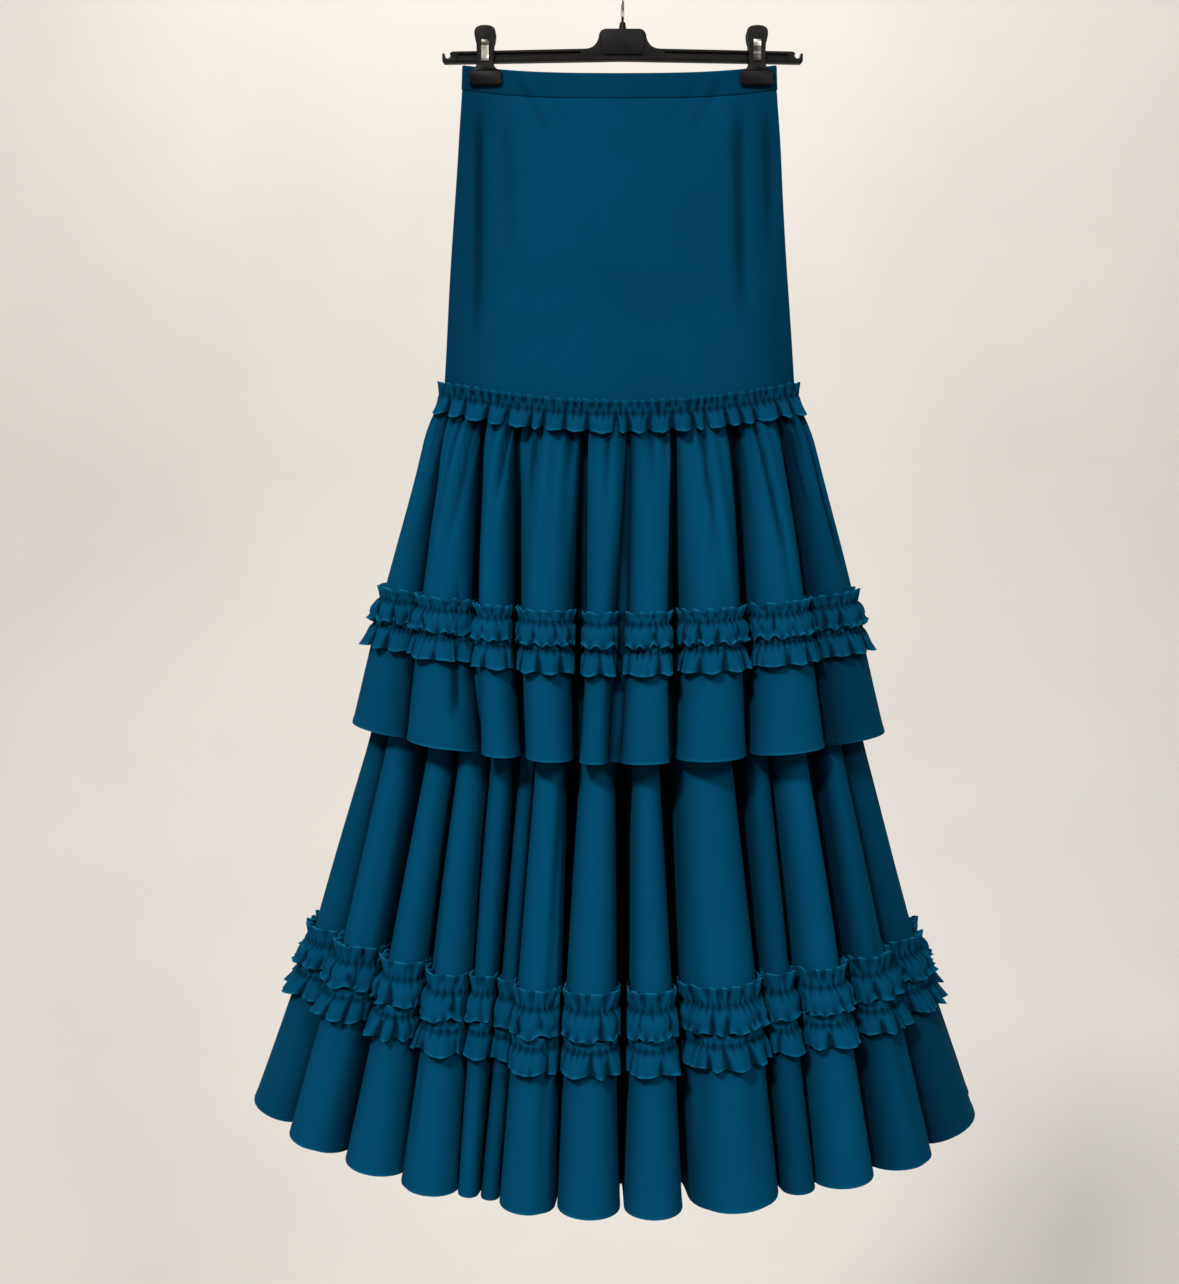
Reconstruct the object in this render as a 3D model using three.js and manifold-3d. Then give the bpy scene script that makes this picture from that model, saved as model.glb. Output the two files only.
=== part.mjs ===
// A flamenco skirt that hangs from a clip hanger, in millimetres, +Z up, its front towards -Y.
// The origin is the inside top of the hook, where the hanger bears on its rail.
// The cloth is made of closed walls. Each ring of the skirt is a flat oval with round folds let into it.

import * as THREE from "three";
import { mergeVertices } from "three/addons/utils/BufferGeometryUtils.js";
import Module from "manifold-3d";

// Cloth
const CLOTH_X = -3; // the skirt hangs a little left of the hook
const SEAM_GAP = 0.3;
const PANEL_WALL = 1.5; // waistband and yoke
const TIER_WALL = 1.6;
const RUFFLE_WALL = 1.3;
const SIDE_EDGE = 3.4; // half the thickness of the two layers where they lie together at the side
const WAIST_TOP = -72; // heights are those of the centre front
const WAIST_SEAM = -97;
const HIP_SEAM = -408;
const FLOUNCE_HEM = -747;
const TIER2_TOP = -640;
const HEM = -1163;
const FOLD_ROUNDNESS = 2.6; // 2 is a parabola, more is a flatter ridge with a narrower valley
const PANEL_COLUMNS = 24; // in each of front and back
const HIP_COLUMNS = 136;

// Hanger
const BAR_HALF = 180;
const BAR_DEPTH = 9;
const BAR_TOP = [-45.4, -49]; // at the middle and at the ends
const BAR_FOOT = [-57, -60];
const PLATE = { half: 24, top: -26.8, foot: -52, root: 38, pad: 1.5 };
const CHANNEL = { from: 42, to: 165, rib: 2.4, deep: 2.2 };
const NOTCH = { fromEnd: 5.4, z: -52.8, radius: 2.9, tip: 2.3 };
const COLLAR = { top: -20, topRadius: 2.8, foot: -28, footRadius: 4.1 };
const WIRE = 3;
const HOOK_RADIUS = 9.5; // inside
const CLIP_X = { left: -137, right: 134 };
const LEVER = { top: -24.2, foot: -82.3, head: 10.6, neck: 8, jaw: 16.7, jawTop: -68, thick: 3.4 };
const JAW_FACE = { front: 4.35, back: 3.85 }; // from the middle plane of the cloth
const JAW_OUTSIDE = 9.2;
const LUG = { half: 5.5, top: -44.5, foot: -47.8 }; // each lever bears on the bar's top edge with it
const SPRING = { half: 3.8, thick: 0.9, bridge: -38.2, foot: -59, bumps: 3, bump: 0.5 };

const CLOTH_COLOUR = 0x00506f;
const PLASTIC_COLOUR = 0x1c1b1a;

// The oval over the fold ridges, from the waist down: height at the centre front, how much higher it is at
// the left and right sides, half its width, how far its front and back stand out, how flat it is
// (1 is an oval, more is a flat oval with thin sides), and how deep its folds are.
const YOKE_ROWS = [
  { z: -72, left: 10.5, right: 10.5, half: 157, front: 14, back: 11, flat: 6, fold: 0 },
  { z: -97, left: 11, right: 11, half: 157.5, front: 17, back: 13, flat: 6, fold: 0 },
  { z: -150, left: 13, right: 12, half: 162, front: 24, back: 18, flat: 3.2, fold: 0 },
  { z: -260, left: 16, right: 15, half: 169, front: 38, back: 28, flat: 1.9, fold: 0 },
  { z: -408, left: 21, right: 20, half: 179, front: 50, back: 38, flat: 1.4, fold: 0 },
];
const TIER1_ROWS = [
  { z: -408, left: 21, right: 20, half: 180, front: 51, back: 39, flat: 1.4, fold: 4 },
  { z: -440, left: 21, right: 19, half: 199, front: 60, back: 46, flat: 1.15, fold: 11 },
  { z: -600, left: 20, right: 17, half: 242, front: 100, back: 72, flat: 1, fold: 23 },
  { z: -747, left: 26, right: 16, half: 279, front: 134, back: 95, flat: 1, fold: 34 },
];
// The band under the hip ruffle, from the yoke's last inch over the seam to the first of tier 1.
const HIP_ROWS = [
  { z: -397, left: 20.7, right: 19.8, half: 178.6, front: 49.4, back: 37.6, flat: 1.4, fold: 0 },
  { z: -408, left: 21, right: 20, half: 180, front: 51, back: 39, flat: 1.4, fold: 0 },
  { z: -427, left: 21, right: 19.6, half: 191.4, front: 56.6, back: 43.2, flat: 1.23, fold: 0 },
];
const TIER2_ROWS = [
  { z: -640, left: 20, right: 17, half: 233, front: 81.5, back: 50.5, flat: 1, fold: 7 },
  { z: -762, left: 26, right: 18, half: 259, front: 101, back: 63, flat: 1, fold: 24 },
  { z: -960, left: 27, right: 18, half: 318, front: 160, back: 108, flat: 1, fold: 46 },
  { z: -1163, left: 50, right: 34, half: 385, front: 220, back: 145, flat: 1, fold: 62 },
];

// Valleys between the front folds, from left to right, as shares of the half width at the top and at
// the hem of the tier, how deep each is beside the deepest, and how far the ridge to its right lies back.
const TIER1_VALLEYS = [
  { top: -0.926, hem: -0.8, deep: 0.62, ridge: 0 },
  { top: -0.734, hem: -0.512, deep: 0.8, ridge: 0 },
  { top: -0.553, hem: -0.359, deep: 0.85, ridge: 0 },
  { top: -0.187, hem: -0.161, deep: 0.9, ridge: 0 },
  { top: 0.053, hem: -0.02, deep: 0.5, ridge: 0 },
  { top: 0.288, hem: 0.191, deep: 1, ridge: 0 },
  { top: 0.615, hem: 0.481, deep: 0.9, ridge: 0 },
  { top: 0.861, hem: 0.771, deep: 0.7, ridge: 0 },
];
const TIER2_VALLEYS = [
  { top: -0.952, hem: -0.896, deep: 0.5, ridge: 0 },
  { top: -0.803, hem: -0.742, deep: 0.75, ridge: 0.05 },
  { top: -0.67, hem: -0.574, deep: 0.8, ridge: 0 },
  { top: -0.551, hem: -0.425, deep: 0.75, ridge: 0.3 },
  { top: -0.425, hem: -0.368, deep: 0.6, ridge: 0.34 },
  { top: -0.338, hem: -0.315, deep: 0.7, ridge: 0 },
  { top: -0.191, hem: -0.167, deep: 0.95, ridge: 0 },
  { top: 0.018, hem: 0.003, deep: 1, ridge: 0 },
  { top: 0.191, hem: 0.17, deep: 1, ridge: 0 },
  { top: 0.5, hem: 0.425, deep: 0.9, ridge: 0.3 },
  { top: 0.645, hem: 0.515, deep: 0.7, ridge: 0.05 },
  { top: 0.8, hem: 0.678, deep: 0.8, ridge: 0 },
  { top: 0.917, hem: 0.844, deep: 0.6, ridge: 0.1 },
];
const SIDE_VALLEY = { deep: 0.45, ridge: 0 };

// Gathered strips: the tier that carries each, the heights of its heading, gather line and lower edge,
// its number of waves, and how far the heading and the lower edge stand out.
const RUFFLES = [
  { name: "hip_ruffle", tier: "hip", top: -398, gather: -408.5, low: -426, waves: 34, head: 1.6, flare: 4.5 },
  { name: "mid_ruffle_upper", tier: "tier1", top: -604, gather: -614, low: -636, waves: 28, head: 3, flare: 7 },
  { name: "mid_ruffle_lower", tier: "tier1", top: -637, gather: -642, low: -665, waves: 28, head: 2, flare: 8 },
  { name: "low_ruffle_upper", tier: "tier2", top: -957, gather: -969, low: -999, waves: 32, head: 3.5, flare: 8 },
  { name: "low_ruffle_lower", tier: "tier2", top: -1000, gather: -1006, low: -1036, waves: 32, head: 2, flare: 9 },
];
const RUFFLE_CLEARANCE = 0.7;
const RUFFLE_VALLEY = 0.66; // a ruffle bridges part of each valley

// Soft troughs that run down the yoke from the clips: place, half width, depth, top and foot.
const DRAGS = [
  { x: -142, width: 9, deep: 2.6, top: -104, foot: -330 },
  { x: 121, width: 10, deep: 2.4, top: -104, foot: -330 },
];

const mix = (a, b, t) => a + (b - a) * t;
const clamp01 = (t) => Math.min(1, Math.max(0, t));
const soft = (t) => clamp01(t) ** 2 * (3 - 2 * clamp01(t));

// The row of a table at one height, worked out between its neighbours.
function rowAt(rows, z) {
  let i = rows.findIndex((row) => row.z <= z);
  i = i < 1 ? (i < 0 ? rows.length - 1 : 1) : i;
  const above = rows[i - 1];
  const below = rows[i];
  const t = (z - above.z) / (below.z - above.z);
  return Object.fromEntries(Object.keys(above).map((key) => [key, mix(above[key], below[key], t)]));
}

// A point of the oval. The angle starts at the left side and passes the centre front and the right side.
function ovalPoint(row, angle) {
  const side = Math.cos(angle);
  const depth = Math.sin(angle);
  const reach = depth > 0 ? row.front : row.back;
  const out = SIDE_EDGE * Math.abs(depth) ** 0.35 + (reach - SIDE_EDGE) * Math.abs(depth) ** row.flat;
  const rise = side > 0 ? row.left : row.right;
  return new THREE.Vector3(-row.half * side, -Math.sign(depth) * out, row.z + rise * side ** 2);
}

function ovalNormal(row, angle) {
  const step = 0.02;
  const along = ovalPoint(row, angle + step).sub(ovalPoint(row, angle - step));
  return new THREE.Vector3(along.y, -along.x, 0).normalize();
}

// All the valleys of a tier: the left side, the front ones, the right side, and the back ones, which
// mirror the front with small changes.
function allValleys(front) {
  const back = front.map((v, i) => ({
    top: v.top + 0.012 * Math.sin(2.3 * i),
    hem: v.hem + 0.02 * Math.sin(1.7 * i + 1),
    deep: v.deep * (0.9 + 0.1 * Math.sin(2.9 * i)),
    ridge: (front[i - 1] ?? SIDE_VALLEY).ridge,
  }));
  const left = { top: -1, hem: -1, ...SIDE_VALLEY };
  const right = { top: 1, hem: 1, ...SIDE_VALLEY };
  const turn = (v, behind) => {
    const angle = (share) => (behind ? 2 * Math.PI - Math.acos(-share) : Math.acos(-share));
    return { top: angle(v.top), hem: angle(v.hem), deep: v.deep, ridge: v.ridge };
  };
  const round = [left, ...front, right].map((v) => turn(v, false));
  round.push(...back.reverse().map((v) => turn(v, true)));
  round.push({ ...round[0], top: 2 * Math.PI, hem: 2 * Math.PI });
  return round;
}

// The columns of a tier's grid: where each lies between two valleys. Wide folds get more of them.
const STEPS = {
  4: [0, 0.2, 0.5, 0.8],
  6: [0, 0.1, 0.3, 0.5, 0.7, 0.9],
  8: [0, 0.07, 0.2, 0.35, 0.5, 0.65, 0.8, 0.93],
};
function columnsOf(valleys) {
  const columns = [];
  for (let i = 0; i + 1 < valleys.length; i++) {
    const turn = valleys[i + 1].hem - valleys[i].hem;
    const steps = turn < 0.1 ? 4 : turn < 0.25 ? 6 : 8;
    for (const u of STEPS[steps]) columns.push({ from: valleys[i], to: valleys[i + 1], u });
  }
  return columns;
}

function tierOf(rows, frontValleys) {
  return { rows, top: rows[0].z, foot: rows.at(-1).z, columns: columnsOf(allValleys(frontValleys)) };
}

// Columns that lie evenly round a smooth band.
function evenColumns(count) {
  const valley = (i) => {
    const angle = (2 * Math.PI * i) / count;
    return { top: angle, hem: angle, deep: 0, ridge: 0 };
  };
  return Array.from({ length: count }, (_, i) => ({ from: valley(i), to: valley(i + 1), u: 0 }));
}

const TIERS = {
  hip: { rows: HIP_ROWS, top: HIP_ROWS[0].z, foot: HIP_ROWS.at(-1).z, columns: evenColumns(HIP_COLUMNS) },
  tier1: tierOf(TIER1_ROWS, TIER1_VALLEYS),
  tier2: tierOf(TIER2_ROWS, TIER2_VALLEYS),
};

// A point of a tier at a height and column: let in by its fold, and moved out by `proud`.
function tierPoint(tier, z, column, valley = 1, proud = 0) {
  const row = rowAt(tier.rows, z);
  const t = clamp01((z - tier.top) / (tier.foot - tier.top));
  const angle = mix(mix(column.from.top, column.from.hem, t), mix(column.to.top, column.to.hem, t), column.u);
  const deep = mix(column.from.deep, column.to.deep, column.u) * valley;
  const inset = row.fold * mix(column.from.ridge, deep, Math.abs(2 * column.u - 1) ** FOLD_ROUNDNESS);
  return ovalPoint(row, angle).addScaledVector(ovalNormal(row, angle), proud - inset);
}

function yokePoint(z, angle) {
  const row = rowAt(YOKE_ROWS, z);
  const point = ovalPoint(row, angle);
  for (const drag of DRAGS) {
    const along = soft((drag.top - z) / 50) * soft((z - drag.foot) / 150);
    const across = Math.exp(-(((point.x - drag.x) / drag.width) ** 2));
    point.y += Math.sign(Math.sin(angle)) * drag.deep * along * across;
  }
  return point;
}

// The points of a closed ring moved in by a wall's thickness, square to it.
function insideOf(ring, wall) {
  return ring.map((point, i) => {
    const before = ring[(i + ring.length - 1) % ring.length];
    const after = ring[(i + 1) % ring.length];
    const edge = (a, b) => new THREE.Vector3(b.y - a.y, a.x - b.x, 0).normalize();
    const first = edge(before, point);
    const out = first.clone().add(edge(point, after)).normalize();
    return point.clone().addScaledVector(out, -wall / Math.max(0.6, out.dot(first)));
  });
}

// A closed wall between two grids of points, whose rows run down and whose columns run counterclockwise.
function wallGeometry(outer, inner, isRing) {
  const rows = outer.length;
  const columns = outer[0].length;
  const index = [];
  const at = (side, r, c) => (side * rows + r) * columns + (c % columns);
  const quad = (a, b, c, d) => index.push(a, b, c, a, c, d);
  for (let c = 0; c < (isRing ? columns : columns - 1); c++) {
    for (let r = 0; r + 1 < rows; r++) {
      quad(at(0, r, c), at(0, r + 1, c), at(0, r + 1, c + 1), at(0, r, c + 1));
      quad(at(1, r, c), at(1, r, c + 1), at(1, r + 1, c + 1), at(1, r + 1, c));
    }
    const foot = rows - 1;
    quad(at(0, 0, c), at(0, 0, c + 1), at(1, 0, c + 1), at(1, 0, c));
    quad(at(0, foot, c), at(1, foot, c), at(1, foot, c + 1), at(0, foot, c + 1));
  }
  for (let r = 0; r + 1 < rows && !isRing; r++) {
    const last = columns - 1;
    quad(at(0, r, 0), at(1, r, 0), at(1, r + 1, 0), at(0, r + 1, 0));
    quad(at(0, r, last), at(0, r + 1, last), at(1, r + 1, last), at(1, r, last));
  }
  const points = [...outer.flat(), ...inner.flat()];
  return new THREE.BufferGeometry().setFromPoints(points).setIndex(index);
}

const skirt = new THREE.Group();
skirt.position.x = CLOTH_X;
const hanger = new THREE.Group();
const object = new THREE.Group();
object.add(skirt, hanger);

const cloth = new THREE.MeshStandardMaterial({ color: CLOTH_COLOUR, roughness: 0.85, metalness: 0 });
const plastic = new THREE.MeshStandardMaterial({ color: PLASTIC_COLOUR, roughness: 0.4, metalness: 0 });
const chrome = new THREE.MeshStandardMaterial({ color: 0xd8d8d8, roughness: 0.15, metalness: 1 });
const steel = new THREE.MeshStandardMaterial({ color: 0xb4b4b2, roughness: 0.35, metalness: 1 });

function addMesh(group, name, geometry, material) {
  const mesh = new THREE.Mesh(geometry, material);
  mesh.name = name;
  group.add(mesh);
}

// A tube of cloth cut into a front and a back panel, a seam's gap apart at each side.
function addPanels(name, rings, wall) {
  const half = rings[0].length / 2;
  const inner = rings.map((ring) => insideOf(ring, wall));
  const cut = (ring, first, side) =>
    Array.from({ length: half + 1 }, (_, i) => {
      const point = ring[(first + i) % ring.length].clone();
      if (i === 0 || i === half) point.y += (side * SEAM_GAP) / 2;
      return point;
    });
  for (const [end, first, side] of [["front", 0, -1], ["back", half, 1]]) {
    const outside = rings.map((ring) => cut(ring, first, side));
    const inside = inner.map((ring) => cut(ring, first, side));
    addMesh(skirt, `${name}_${end}`, wallGeometry(outside, inside, false), cloth);
  }
}

function yokeRing(z) {
  const around = 2 * PANEL_COLUMNS;
  return Array.from({ length: around }, (_, i) => yokePoint(z, (2 * Math.PI * i) / around));
}

function tierRing(tier, z, valley, proud = () => 0) {
  return tier.columns.map((column, i) => tierPoint(tier, z, column, valley, proud(i)));
}

function buildPanels() {
  const half = SEAM_GAP / 2;
  addPanels("waistband", [WAIST_TOP, WAIST_SEAM + half].map(yokeRing), PANEL_WALL);
  addPanels("yoke", [WAIST_SEAM - half, -150, -260, HIP_SEAM + half].map(yokeRing), PANEL_WALL);
  const tier1Heights = [HIP_SEAM - half, -440, -600, FLOUNCE_HEM];
  addPanels("tier1", tier1Heights.map((z) => tierRing(TIERS.tier1, z)), TIER_WALL);
  const tier2Heights = [TIER2_TOP, -762, -960, HEM];
  addPanels("tier2", tier2Heights.map((z) => tierRing(TIERS.tier2, z)), TIER_WALL);
}

// A strip gathered on one line: a narrow heading above it and a wavy flounce below it.
function buildRuffle(ruffle, order) {
  const tier = TIERS[ruffle.tier];
  const count = tier.columns.length;
  const seat = RUFFLE_CLEARANCE + RUFFLE_WALL;
  const wave = (i) => Math.sin((2 * Math.PI * ruffle.waves * i) / count + order);
  const rings = [
    { z: ruffle.top, out: ruffle.head, swing: ruffle.head * 0.55 },
    { z: ruffle.gather, out: 0.2, swing: 0.2 },
    { z: ruffle.low, out: ruffle.flare, swing: ruffle.flare * 0.5 },
  ].map((line) => tierRing(tier, line.z, RUFFLE_VALLEY, (i) => seat + line.out + line.swing * wave(i)));
  const inner = rings.map((ring) => insideOf(ring, RUFFLE_WALL));
  addMesh(skirt, ruffle.name, wallGeometry(rings, inner, true), cloth);
}

// An outline of X and Z, made thick along Y between two depths.
function alongY(outline, from, to) {
  const geometry = new THREE.ExtrudeGeometry(outline, { depth: to - from, bevelEnabled: false, curveSegments: 5 });
  return geometry.rotateX(Math.PI / 2).translate(0, to, 0);
}

function boxBetween(x, y, z) {
  const geometry = new THREE.BoxGeometry(x[1] - x[0], y[1] - y[0], z[1] - z[0]);
  return geometry.translate((x[0] + x[1]) / 2, (y[0] + y[1]) / 2, (z[0] + z[1]) / 2);
}

const wasm = await Module();
wasm.setup();

function solidOf(geometry) {
  geometry.deleteAttribute("normal");
  geometry.deleteAttribute("uv");
  const merged = mergeVertices(geometry, 1e-4);
  const mesh = { numProp: 3, vertProperties: merged.attributes.position.array, triVerts: merged.index.array };
  return new wasm.Manifold(new wasm.Mesh({ ...mesh, triVerts: new Uint32Array(mesh.triVerts) }));
}

function geometryOf(solid) {
  const mesh = solid.getMesh();
  const geometry = new THREE.BufferGeometry();
  geometry.setAttribute("position", new THREE.BufferAttribute(mesh.vertProperties, 3));
  return geometry.setIndex(new THREE.BufferAttribute(mesh.triVerts, 1));
}

// Joins the first geometries and cuts the others out of them.
function joined(parts, cuts = []) {
  let solid = parts.map(solidOf).reduce((whole, part) => whole.add(part));
  for (const cut of cuts) solid = solid.subtract(solidOf(cut));
  return geometryOf(solid);
}

const barTop = (x) => mix(BAR_TOP[0], BAR_TOP[1], Math.abs(x) / BAR_HALF);
const barFoot = (x) => mix(BAR_FOOT[0], BAR_FOOT[1], Math.abs(x) / BAR_HALF);

// The bar with its centre plate and a round notch near each end, open to its upper outside.
function barOutline() {
  const outline = new THREE.Shape();
  const notchX = BAR_HALF - NOTCH.fromEnd;
  const tipX = BAR_HALF - NOTCH.tip;
  const arc = { from: 0.35, to: 2.3 }; // the notch's open side, in radians from the outward level
  const end = (side) => {
    const points = [
      [BAR_HALF - 2, barFoot(BAR_HALF)],
      [BAR_HALF, barFoot(BAR_HALF) + 2],
      [BAR_HALF, NOTCH.z + 2],
      [tipX, NOTCH.z + 2],
    ];
    const turns = 8;
    for (let i = 0; i <= turns; i++) {
      const angle = mix(arc.from, arc.to - 2 * Math.PI, i / turns);
      points.push([notchX + NOTCH.radius * Math.cos(angle), NOTCH.z + NOTCH.radius * Math.sin(angle)]);
    }
    points.push([notchX - NOTCH.radius - 2, barTop(notchX)]);
    return points.map(([x, z]) => [side * x, z]);
  };
  const shoulder = PLATE.top - 9;
  outline.moveTo(0, BAR_FOOT[0]);
  for (const [x, z] of end(1)) outline.lineTo(x, z);
  outline.lineTo(PLATE.root, barTop(PLATE.root));
  outline.quadraticCurveTo(PLATE.half + 3, barTop(PLATE.root), PLATE.half, shoulder);
  outline.quadraticCurveTo(PLATE.half - 0.5, PLATE.top, PLATE.half - 8, PLATE.top);
  outline.lineTo(8 - PLATE.half, PLATE.top);
  outline.quadraticCurveTo(0.5 - PLATE.half, PLATE.top, -PLATE.half, shoulder);
  outline.quadraticCurveTo(-PLATE.half - 3, barTop(PLATE.root), -PLATE.root, barTop(PLATE.root));
  for (const [x, z] of end(-1).reverse()) outline.lineTo(x, z);
  return outline;
}

// A recess between the upper and the lower rib of the bar.
function channelCut(side, from, to) {
  const outline = new THREE.Shape();
  const high = (x) => barTop(x) - CHANNEL.rib;
  const low = (x) => barFoot(x) + CHANNEL.rib;
  outline.moveTo(side * CHANNEL.from, high(CHANNEL.from));
  outline.lineTo(side * CHANNEL.to, high(CHANNEL.to));
  outline.lineTo(side * CHANNEL.to, low(CHANNEL.to));
  outline.lineTo(side * CHANNEL.from, low(CHANNEL.from));
  return alongY(outline, from, to);
}

function padOutline() {
  const outline = new THREE.Shape();
  const half = PLATE.half - 2.5;
  const top = PLATE.top - 2.5;
  const round = 6;
  outline.moveTo(-half + round, PLATE.foot);
  outline.lineTo(half - round, PLATE.foot);
  outline.quadraticCurveTo(half, PLATE.foot, half, PLATE.foot + round);
  outline.lineTo(half, top - round);
  outline.quadraticCurveTo(half, top, half - round, top);
  outline.lineTo(-half + round, top);
  outline.quadraticCurveTo(-half, top, -half, top - round);
  outline.lineTo(-half, PLATE.foot + round);
  outline.quadraticCurveTo(-half, PLATE.foot, -half + round, PLATE.foot);
  return outline;
}

function buildBar() {
  const face = BAR_DEPTH / 2;
  const profile = [
    [0, COLLAR.foot],
    [COLLAR.footRadius, COLLAR.foot],
    [COLLAR.topRadius, COLLAR.top],
    [0, COLLAR.top],
  ].map(([r, z]) => new THREE.Vector2(r, z));
  const collar = new THREE.LatheGeometry(profile, 16).rotateX(Math.PI / 2);
  const pad = alongY(padOutline(), -face - PLATE.pad, face + PLATE.pad);
  const cuts = [1, -1].flatMap((side) => [
    channelCut(side, -face - 1, -face + CHANNEL.deep),
    channelCut(side, face - CHANNEL.deep, face + 1),
  ]);
  addMesh(hanger, "hanger_bar", joined([alongY(barOutline(), -face, face), collar, pad], cuts), plastic);
}

// The wire rises from the collar in front of the rail, passes over it and ends behind it.
function buildHook() {
  const radius = HOOK_RADIUS + WIRE / 2;
  const points = [[0.8, -22], [-1.6, -19.3], [-5, -17.4], [-8.9, -14.3]];
  const arcSteps = 8;
  for (let i = 0; i <= arcSteps; i++) {
    const angle = Math.PI * (1 - i / arcSteps);
    points.push([radius * Math.cos(angle), -HOOK_RADIUS + radius * Math.sin(angle)]);
  }
  points.push([radius + 0.4, -14], [radius + 2.4, -18.5]);
  const path = new THREE.CatmullRomCurve3(points.map(([y, z]) => new THREE.Vector3(0, y, z)));
  const wire = new THREE.Shape().absarc(0, 0, WIRE / 2, 0, 2 * Math.PI);
  const options = { steps: 34, extrudePath: path, bevelEnabled: false, curveSegments: 4 };
  const collarTop = boxBetween([-9, 9], [-9, 9], [COLLAR.foot, COLLAR.top + SEAM_GAP]);
  addMesh(hanger, "hook", joined([new THREE.ExtrudeGeometry(wire, options)], [collarTop]), chrome);
}

// A lever of a clip: a rounded head, a narrow neck and a wide jaw.
function leverOutline() {
  const outline = new THREE.Shape();
  const round = 4;
  outline.moveTo(-LEVER.jaw + round, LEVER.foot);
  outline.lineTo(LEVER.jaw - round, LEVER.foot);
  outline.quadraticCurveTo(LEVER.jaw, LEVER.foot, LEVER.jaw, LEVER.foot + round);
  outline.lineTo(LEVER.jaw - 1, LEVER.jawTop);
  outline.quadraticCurveTo(LEVER.neck + 1, LEVER.jawTop + 1, LEVER.neck, LEVER.jawTop + 8);
  outline.lineTo(LEVER.neck + 0.6, -42);
  outline.quadraticCurveTo(LEVER.head, -36, LEVER.head, -31);
  outline.quadraticCurveTo(LEVER.head, LEVER.top, 0, LEVER.top);
  outline.quadraticCurveTo(-LEVER.head, LEVER.top, -LEVER.head, -31);
  outline.quadraticCurveTo(-LEVER.head, -36, -LEVER.neck - 0.6, -42);
  outline.lineTo(-LEVER.neck, LEVER.jawTop + 8);
  outline.quadraticCurveTo(-LEVER.neck - 1, LEVER.jawTop + 1, 1 - LEVER.jaw, LEVER.jawTop);
  outline.lineTo(-LEVER.jaw, LEVER.foot + round);
  outline.quadraticCurveTo(-LEVER.jaw, LEVER.foot, -LEVER.jaw + round, LEVER.foot);
  return outline;
}

// The spring is a band bent over both levers, with shallow waves down its legs.
function springOutline() {
  const outline = new THREE.Shape();
  const inside = BAR_DEPTH / 2 + SEAM_GAP + LEVER.thick + SEAM_GAP;
  const outside = inside + SPRING.thick;
  const drop = (SPRING.foot - SPRING.bridge) / SPRING.bumps;
  const under = SPRING.bridge - SPRING.thick;
  outline.moveTo(-outside, SPRING.foot);
  for (let i = SPRING.bumps - 1; i >= 0; i--) {
    outline.lineTo(-outside - SPRING.bump, SPRING.bridge + (i + 0.5) * drop);
    outline.lineTo(-outside, SPRING.bridge + i * drop);
  }
  for (let i = 0; i < SPRING.bumps; i++) {
    outline.lineTo(outside, SPRING.bridge + i * drop);
    outline.lineTo(outside + SPRING.bump, SPRING.bridge + (i + 0.5) * drop);
  }
  outline.lineTo(outside, SPRING.foot);
  outline.lineTo(inside, SPRING.foot);
  outline.lineTo(inside, under);
  outline.lineTo(-inside, under);
  outline.lineTo(-inside, SPRING.foot);
  return outline;
}

function buildClip(name, x) {
  const clip = new THREE.Group();
  clip.position.x = x;
  hanger.add(clip);
  const face = BAR_DEPTH / 2 + SEAM_GAP;
  for (const [end, side] of [["front", -1], ["back", 1]]) {
    const span = (a, b) => [side * a, side * b].sort((p, q) => p - q);
    const plate = alongY(leverOutline(), ...span(face, face + LEVER.thick));
    const jawZ = [LEVER.foot + 1, LEVER.jawTop - 1];
    const jaw = boxBetween([1 - LEVER.jaw, LEVER.jaw - 1], span(JAW_FACE[end], JAW_OUTSIDE), jawZ);
    const lug = boxBetween([-LUG.half, LUG.half], span(SEAM_GAP / 2, face + 1), [LUG.foot, LUG.top]);
    const slotHalf = SPRING.half + 0.4;
    const slotZ = [SPRING.bridge - SPRING.thick - 0.4, SPRING.bridge + 0.4];
    const slot = boxBetween([-slotHalf, slotHalf], span(face - 1, face + LEVER.thick + 1), slotZ);
    addMesh(clip, `${name}_${end}`, joined([plate, jaw, lug], [slot]), plastic);
  }
  const band = new THREE.ExtrudeGeometry(springOutline(), { depth: 2 * SPRING.half, bevelEnabled: false });
  band.rotateX(Math.PI / 2).rotateZ(Math.PI / 2).translate(-SPRING.half, 0, 0);
  addMesh(clip, `${name}_spring`, band, steel);
}

buildPanels();
RUFFLES.forEach(buildRuffle);
buildBar();
buildHook();
buildClip("clip_left", CLIP_X.left);
buildClip("clip_right", CLIP_X.right);

export default object;
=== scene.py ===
"""The looks of a flamenco skirt that hangs from a clip hanger.

The cloth is built as thin shells on the form of the solids. The tiers' ovals and the places of their folds
are those of the solids. The valleys between the folds are deeper, and the strips lie up to 12 mm from those
of the solids. Gathers, curled edges and stitches are added. Tables and sizes are in millimetres, and meshes
are made in metres. Columns of a mesh run round the skirt from its left side past the front, and rows run
down.
"""

import math

import bpy
import numpy as np
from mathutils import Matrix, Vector


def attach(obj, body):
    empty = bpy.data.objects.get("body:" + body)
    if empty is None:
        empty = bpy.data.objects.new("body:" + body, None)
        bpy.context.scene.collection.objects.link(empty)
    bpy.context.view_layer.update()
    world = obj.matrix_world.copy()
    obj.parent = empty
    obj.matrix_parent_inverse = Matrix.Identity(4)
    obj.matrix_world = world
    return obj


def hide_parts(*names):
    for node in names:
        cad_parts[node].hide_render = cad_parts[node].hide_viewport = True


MM = 0.001
TAU = 2 * math.pi

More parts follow.
